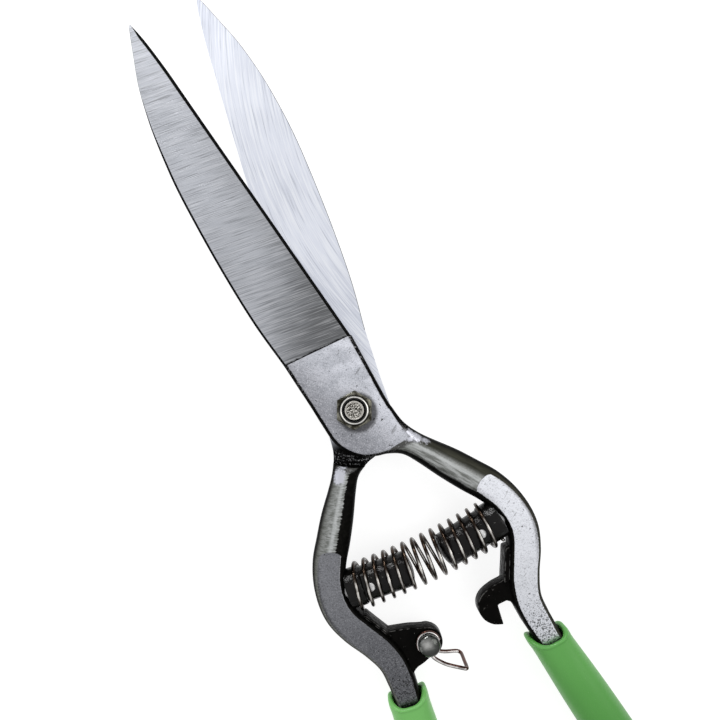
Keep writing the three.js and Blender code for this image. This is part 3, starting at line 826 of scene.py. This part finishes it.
# ---------------------------------------------------------------------------------------------
# Spring pegs: a stud riveted in each handle, a black enamelled steel sleeve with a seat for the
# spring and a domed nose over it, and a bright cross pin through both, filed flush.
def black_enamel(name, gloss, edge_highlight=0.0):
    """Lumpy black enamel, chipped here and there, with a painted highlight along its tilted edges by this
    share.
    """
    material, paint, shader = finish(name, Specular_IOR_Level=gloss)
    here = place_on(paint)
    lumps = noise(here, 420.0, 3.0)
    chips = step(noise(here, 700.0, 3.0), 0.70, 0.74)
    tone = mixed(lumps, (0.001, 0.001, 0.001, 1), (0.005, 0.0045, 0.004, 1))
    # painted highlight along the tilted edges, where a bevel would catch the light
    arris_highlight = within(abs(facing_up(paint)), 0.45, 0.60, 0.88, 0.97) * step(lumps, 0.42, 0.6)
    tone = mixed(arris_highlight * edge_highlight, tone, (0.16, 0.155, 0.15, 1))
    mixed(chips, tone, (0.10, 0.095, 0.09, 1)).feed(shader, "Base Color")
    (0.10 + lumps * 0.22 + chips * 0.25).feed(shader, "Roughness")
    bump(lumps - chips * 0.3, 0.0005).feed(shader, "Normal")
    return material


def bright_steel(name, level, rough):
    """Drawn or turned bright steel with fine marks and dull patches."""
    material, paint, shader = finish(name, Metallic=1.0)
    here = place_on(paint)
    patch = noise(here, 520.0, 3.0)
    marks = noise(here, 3200.0, 2.0)
    tone = mixed(step(patch, 0.3, 0.7), grey(level * 0.6), grey(level))
    mixed(step(marks, 0.64, 0.8) * 0.6, tone, (0.12, 0.11, 0.10, 1)).feed(shader, "Base Color")
    (rough + patch * 0.2).feed(shader, "Roughness")
    bump(marks, 0.00005).feed(shader, "Normal")
    return material


enamel = black_enamel("black_enamel", 0.20)
lug_enamel = black_enamel("black_enamel_edge_highlight", 0.02, 0.6)
pin_steel = bright_steel("bright_pin_steel", 0.85, 0.25)
PEG_R, PEG_L, SEAT_R, SEAT_L = 7.0, 27.4, 7.7, 7.0
PIN_AT = 9.8
nose = [(PEG_R * math.cos(a), PEG_L - 2.6 + 2.6 * math.sin(a)) for a in np.linspace(0, 1.5, 9)]
peg_profile = [
    (4.3, 0.3), (7.2, 0.3), (SEAT_R - 0.1, 0.6), (SEAT_R, 1.2), (SEAT_R, SEAT_L - 0.9),
    (SEAT_R - 0.2, SEAT_L - 0.3), (SEAT_R - 0.5, SEAT_L), (PEG_R + 0.05, SEAT_L + 0.1),
    (PEG_R, SEAT_L + 0.3), (PEG_R, 12), (PEG_R - 0.05, 18),
    *nose, (0.4, PEG_L), (0.4, 20.5), (4.3, 20.3),
]
for side, (place, half) in HALVES.items():
    turned = [(r * MM, z * MM) for r, z in peg_profile]
    peg = skin(f"{side}_peg_sleeve", [circle(r, z, 64) for r, z in turned], loop=True)
    peg.data.transform(place @ peg_frame())
    smooth(peg, 35)
    peg.data.materials.append(enamel)
    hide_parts(f"{side}_spring_peg")
    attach(peg, half)

    at = peg_frame() @ Vector((0, 0, PIN_AT * MM))
    crown = [(1.7 * math.cos(a), 6.9 + 0.35 * math.sin(a)) for a in np.linspace(0, 1.5, 7)]
    halfway = [(0.1, 7.25)] + crown[::-1]
    profile = [(r * MM, z * MM) for r, z in halfway + [(r, -z) for r, z in halfway[::-1]]]
    pin = skin(f"{side}_cross_pin", [circle(r, z, 40) for r, z in profile])
    pin.data.transform(place @ Matrix.Translation(at))
    smooth(pin, 40)
    pin.data.materials.append(pin_steel)
    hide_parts(f"{side}_peg_pin")
    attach(pin, half)

stud_steel = bright_steel("turned_stud_steel", 0.5, 0.35)
for side in HALVES:
    node = frame["nodes"][f"{side}_peg_stud"]
    node.data.materials.clear()
    node.data.materials.append(stud_steel)

# ---------------------------------------------------------------------------------------------
# Opening spring: fourteen turns of brown oxidised spring wire, coiled with its ends closed down on
# the seats of the pegs. It bends from one peg's axis to the other's.
WIRE_R, COIL_R, TURNS = 0.74 * MM, 8.7 * MM, 14
PEG_AT = peg_frame().translation
SPRING_IN = 3.5 * MM


def tube(name, path, radius, sides=12):
    """A round wire along a path of points, with domed ends."""
    path = np.asarray(path, float)
    ahead = np.gradient(path, axis=0)
    ahead /= np.linalg.norm(ahead, axis=1)[:, None]
    side = np.cross(ahead[0], [0.3, 0.2, 1.0])
    rings = []
    turn = np.linspace(0, 2 * math.pi, sides, endpoint=False)
    for point, way in zip(path, ahead):
        side = side - way * (side @ way)
        side /= np.linalg.norm(side)
        up = np.cross(way, side)
        rings.append(point + radius * (np.outer(np.cos(turn), side) + np.outer(np.sin(turn), up)))
    caps = []
    for ring, point, way in ((rings[0], path[0], -ahead[0]), (rings[-1], path[-1], ahead[-1])):
        caps.append([point + (ring - point) * math.cos(a) + way * radius * 0.6 * math.sin(a)
                     for a in (0.5, 1.0, 1.35)])
    return skin(name, caps[0][::-1] + rings + caps[1], centre=True)


def coil_path(steps_each=44):
    """The wire's middle: turns about an arc that leaves one peg's axis and meets the other's."""
    half = PEG_AT.x - SPRING_IN * math.cos(PEG_TILT)
    low = PEG_AT.y - SPRING_IN * math.sin(PEG_TILT)
    arc = half / math.sin(PEG_TILT)
    t = np.linspace(0, 1, TURNS * steps_each + 1)
    lean = (2 * t - 1) * PEG_TILT
    turn = 2 * math.pi * TURNS * t
    reach = arc + COIL_R * np.cos(turn)
    return np.stack([reach * np.sin(lean), low + arc * math.cos(PEG_TILT) - reach * np.cos(lean),
                     pivot.z + COIL_R * np.sin(turn)], 1)


spring = tube("opening_spring", coil_path(), WIRE_R)
smooth(spring, 60)


def drawn_wire(name, browned_and_shaded, rubbed_and_sheen):
    """Drawn wire, browned by tempering, with painted light: a painted highlight where it faces up or
    down, and painted shade, dark brown, on its sides.
    """
    material, paint, shader = finish(name, Metallic=1.0)
    here = place_on(paint)
    oxide = noise(here, 300.0, 4.0)
    drawn = noise(here, 2600.0, 2.0)
    patch = step(oxide, 0.35, 0.68)
    # painted light: lighter where the surface faces up or down, darker on the sides
    wear_and_sheen = step(abs(facing_up(paint)) + (patch - 0.5) * 0.10, 0.80, 0.99)
    dark = mixed(patch, [part * 0.5 for part in browned_and_shaded[:3]] + [1], browned_and_shaded)
    bright = mixed(patch, [part * 0.65 for part in rubbed_and_sheen[:3]] + [1], rubbed_and_sheen)
    tone = mixed(wear_and_sheen, dark, bright)
    mixed(step(drawn, 0.6, 0.75) * 0.3, tone, (0.04, 0.03, 0.02, 1)).feed(shader, "Base Color")
    (0.12 + oxide * 0.12).feed(shader, "Roughness")
    bump(drawn, 0.00005).feed(shader, "Normal")
    return material


spring_steel = drawn_wire("spring_wire_steel", (0.055, 0.038, 0.028, 1), (0.80, 0.78, 0.74, 1))
spring.data.materials.append(spring_steel)
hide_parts("coil_spring")
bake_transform(spring)

# ---------------------------------------------------------------------------------------------
# Lugs: flame-cut steel plate welded inside the handles and enamelled black. The front half's lug is
# the hook, open towards the grip; the rear half's is the ear for the rivet. Each stands on a
# strip nearly as deep as the handle that runs up to the peg's seat.
HOOK = [(23.0, -85.1), (19.0, -85.3), (14.5, -86.4), (11.6, -88.3), (10.1, -90.8), (9.8, -93.6),
        (10.6, -96.6), (12.8, -99.2), (16.4, -100.9)]
EAR_R = 5.7
EAR_AT = (-rivet_axis.x / MM, rivet_axis.y / MM)


def rounded_plate(name, outline, low, high, edge):
    """A plate with the plan outline (mm), raised from low to high, its edges rounded."""
    count = len(outline)
    verts = [(x * MM, y * MM, z * MM) for z in (low, high) for x, y in outline]
    faces = [list(range(count)), list(range(count, 2 * count))]
    faces += [(k, (k + 1) % count, (k + 1) % count + count, k + count) for k in range(count)]
    made = body(name, verts, faces)
    modifier = made.modifiers.new("edge", "BEVEL")
    modifier.width = edge * MM
    modifier.segments = 3
    modifier.limit_method = "ANGLE"
    modifier.angle_limit = math.radians(50)
    bake_modifiers(made)
    return made


def flank(first, last, count=10, inside=0.35):
    """Plan points of the handle's inner flank between two heights, from first down to last."""
    rows = through(FORGING, 7)[:, :2]
    wanted = np.linspace(first, last, count)
    return [(float(np.interp(-y, -rows[:, 1], rows[:, 0])) + inside, float(y)) for y in wanted]


def hook_outline():
    """The hook's back and round nose, then the notch that the bail's cross wire drops into."""
    return [*map(tuple, through(HOOK, 6)), (17.5, -93.5), (17.9, -93.0), (21.4, -93.0), (22.6, -94.0),
            (23.5, -97.5), (25.6, -97.5), (27.6, -84)]


def ear_outline():
    """The ear's top edge, its round end about the rivet, and its foot."""
    x, y = EAR_AT
    round_end = [(x + EAR_R * math.cos(a), y + EAR_R * math.sin(a)) for a in np.linspace(1.9, 4.5, 20)]
    top = [tuple(p) for p in through([(26.6, -83.6), (24.2, -84.2), (18, -86.1), (14.4, -87.6)], 5)]
    foot_line = [(15, -100), (18.1, -100.9), (21.3, -101.5), (23.6, -102.9), (24.6, -104.4)]
    foot = [tuple(p) for p in through(foot_line, 5)]
    return [*top, *round_end, *foot, (25.8, -104.4), (28.4, -84)]


def strip_outline(upper, lower, last):
    """The strip along the flank, from the peg's seat down to the lug, with its two thicknesses."""
    wall = flank(-74, last)
    thick = np.linspace(upper, lower, len(wall))
    return wall + [(x - t, y) for (x, y), t in zip(wall[::-1], thick[::-1])]


for side, half, name, node, outline, upper, lower in (
        ("front", "front_half", "locking_hook", "hook_lug", hook_outline(), 2.3, 2.6),
        ("rear", "rear_half", "rivet_ear", "catch_lug", ear_outline(), 1.5, 1.3)):
    lug = rounded_plate(name, outline, -3, 3, 0.5)
    strip = rounded_plate("strip", strip_outline(upper, lower, -86), -4.0, 4.0, 0.6)
    combine(lug, strip, "UNION")
    lug.data.transform(HALVES[side][0])
    smooth(lug, 35)
    lug.data.materials.append(lug_enamel)
    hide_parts(node)
    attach(lug, half)

# ---------------------------------------------------------------------------------------------
# Catch: a bright rivet with two hammered dome heads through the ear, and a bail bent from one
# length of wire, with an eye on the rivet at each side of the ear and a cross wire for the hook.
UNDER, SIDE, CROWN, HEAD_R = 5.1, 6.3, 8.5, 4.3
dome = [(HEAD_R * math.cos(a), SIDE + (CROWN - SIDE) * math.sin(a)) for a in np.linspace(0, 1.5, 12)]
upper = [(2.6, UNDER), (HEAD_R - 0.4, UNDER), (HEAD_R - 0.1, UNDER + 0.4)] + dome
rivet_profile = [(0.2, -CROWN)] + [(r, -z) for r, z in upper[::-1]] + upper + [(0.2, CROWN)]
rivet = skin("catch_rivet_body", [circle(r * MM, z * MM, 64) for r, z in rivet_profile])
rivet.data.transform(Matrix.Translation(rivet_axis))
smooth(rivet, 40)
rivet_steel, paint, shader = finish("hammered_rivet_steel", Metallic=1.0)
here = place_on(paint)
dents = noise(here, 520.0, 3.0)
# painted highlight: the dome is bright about a point off its axis and falls to painted shade away from it
from_painted_highlight = from_axis(here, rivet_axis.x - 0.0002, rivet_axis.y + 0.0017)
painted_shade_share = step(from_painted_highlight + (dents - 0.5) * 0.003, 0.0, 0.0032)
mixed(painted_shade_share, (0.45, 0.45, 0.44, 1), (0.085, 0.09, 0.085, 1)).feed(shader, "Base Color")
(0.08 + dents * 0.14).feed(shader, "Roughness")
bump(dents, 0.0002).feed(shader, "Normal")
rivet.data.materials.append(rivet_steel)
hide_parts("catch_rivet")
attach(rivet, "rear_half")

BAIL_R, BAIL_L, EYE_R, EYE_Z, CROSS_Z = 0.75, 17.0, 4.25, 4.05, 7.2
BAIL_REST = math.radians(-56.2)
eye = [(EYE_R * math.cos(a), EYE_R * math.sin(a), EYE_Z) for a in np.arange(0.9, 5.5, 0.5)]
leg = [(5.4, -EYE_R * 0.88, EYE_Z + 0.2), (9.8, -3, EYE_Z + 1.2), (BAIL_L - 2, -0.6, CROSS_Z - 0.3),
       (BAIL_L - 0.5, -0.1, CROSS_Z - 0.6), (BAIL_L, 0, CROSS_Z - 2.2)]
near = eye + leg
route = near + [(BAIL_L, 0, 0)] + [(x, y, -z) for x, y, z in near[::-1]]
bail = tube("wire_bail_loop", through(route, 9) * MM, BAIL_R * MM, 14)
bail.data.transform(Matrix.Translation(rivet_axis) @ Matrix.Rotation(BAIL_REST, 4, "Z"))
smooth(bail, 60)
bail.data.materials.append(drawn_wire("bail_wire_steel", (0.10, 0.045, 0.035, 1), (0.85, 0.83, 0.82, 1)))
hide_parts("wire_bail")
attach(bail, "bail")

# ---------------------------------------------------------------------------------------------
# Grips: green vinyl, dipped as thick sleeves over the ends of the handles. The mouth dips in a U
# on the two flat sides and has a rolled lip; below it the sleeve swells to the palm and is closed
# and round at its end.
SWELL = [(0, 7.75), (8, 8.0), (30, 8.9), (55, 9.25), (80, 9.05), (96, 8.6)]


def oval(half_width, half_height, power, sides=72):
    """A ring from round to nearly square as power goes up from 2."""
    turn = np.linspace(0, 2 * math.pi, sides, endpoint=False)
    c, s = np.cos(turn), np.sin(turn)
    return np.stack([half_width * np.sign(c) * np.abs(c) ** (2 / power),
                     half_height * np.sign(s) * np.abs(s) ** (2 / power)], 1)


def grip_rings(level, slant, dip):
    """From the closed end up the outside, over the lip, and down inside to the end of the steel."""
    turn = np.linspace(0, 2 * math.pi, 72, endpoint=False)
    mouth = level + slant * np.cos(turn) + dip * np.sin(turn) ** 2
    rings = []

    def add(along, width, height, power):
        along = np.broadcast_to(along, 72)
        section = oval(width, height, power)
        rings.append(np.c_[section[:, 0], -along, section[:, 1]])

    for a in np.linspace(1.5, 0.1, 10):
        add(96 + 8.9 * math.sin(a), 8.6 * math.cos(a), 8.4 * math.cos(a), 2.1)
    for along, width in through(SWELL, 6)[::-1]:
        fade = max(0.0, 1 - along / 22) ** 1.5
        lip = 0.28 * math.exp(-((along - 1.5) / 2.2) ** 2)
        add(along + fade * mouth, width + lip, width * 0.97, 2.1 + 0.7 * fade)
    for a in np.linspace(0.3, 2.9, 9):
        add(mouth - 1.0 * math.sin(a), 6.9 + 1.0 * math.cos(a), 6.75 + 1.0 * math.cos(a), 3.0)
    for along, width, height in ((1.5, 5.75, 5.75), (6, 5.6, 5.6), (14, 5.45, 5.45)):
        add(mouth * (1 - along / 16) + along, width, height, 6.0)
    for along, width in ((30, 5.3), (60, 4.8), (92.4, 4.1)):
        add(along, width, 5.4, 6.0)
    return np.array(rings) * MM


def dipped_vinyl(name):
    """Green vinyl, a little dusty and paler on the left and at the mouths."""
    material, paint, shader = finish(name, Specular_IOR_Level=0.45)
    here = place_on(paint)
    cloud = noise(here, 38.0, 3.0)
    skinny = noise(here, 900.0, 3.0)
    dust = step(noise(here, 2200.0, 2.0), 0.70, 0.78)
    # paler toward the left and toward the mouths, by place
    sideways = step(cloud * 0.02 - coordinate(here, 0), -0.02, 0.04)
    lengthwise = step(coordinate(here, 1) + cloud * 0.02, -0.150, -0.105)
    paler_share = sideways * 0.6 + lengthwise * 0.4
    tone = mixed(paler_share, (0.060, 0.265, 0.036, 1), (0.155, 0.46, 0.110, 1))
    mixed(dust * 0.25, tone, (0.35, 0.62, 0.30, 1)).feed(shader, "Base Color")
    (0.34 + skinny * 0.14).feed(shader, "Roughness")
    bump(skinny * 0.5 + cloud * 2.0, 0.00012).feed(shader, "Normal")
    return material


MOUTHS = {"front": (1.0, 2.0, 2.8), "rear": (-0.8, 0.0, 2.8)}
vinyl = dipped_vinyl("green_dipped_vinyl")
grip_place = Matrix.Translation(GRIP_MOUTH) @ Matrix.Rotation(GRIP_TILT, 4, "Z")
for side, (place, half) in HALVES.items():
    grip = skin(f"{side}_vinyl_grip", grip_rings(*MOUTHS[side]), centre=True)
    grip.data.transform(place @ grip_place)
    smooth(grip, 50)
    grip.data.materials.append(vinyl)
    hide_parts(f"{side}_grip")
    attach(grip, half)
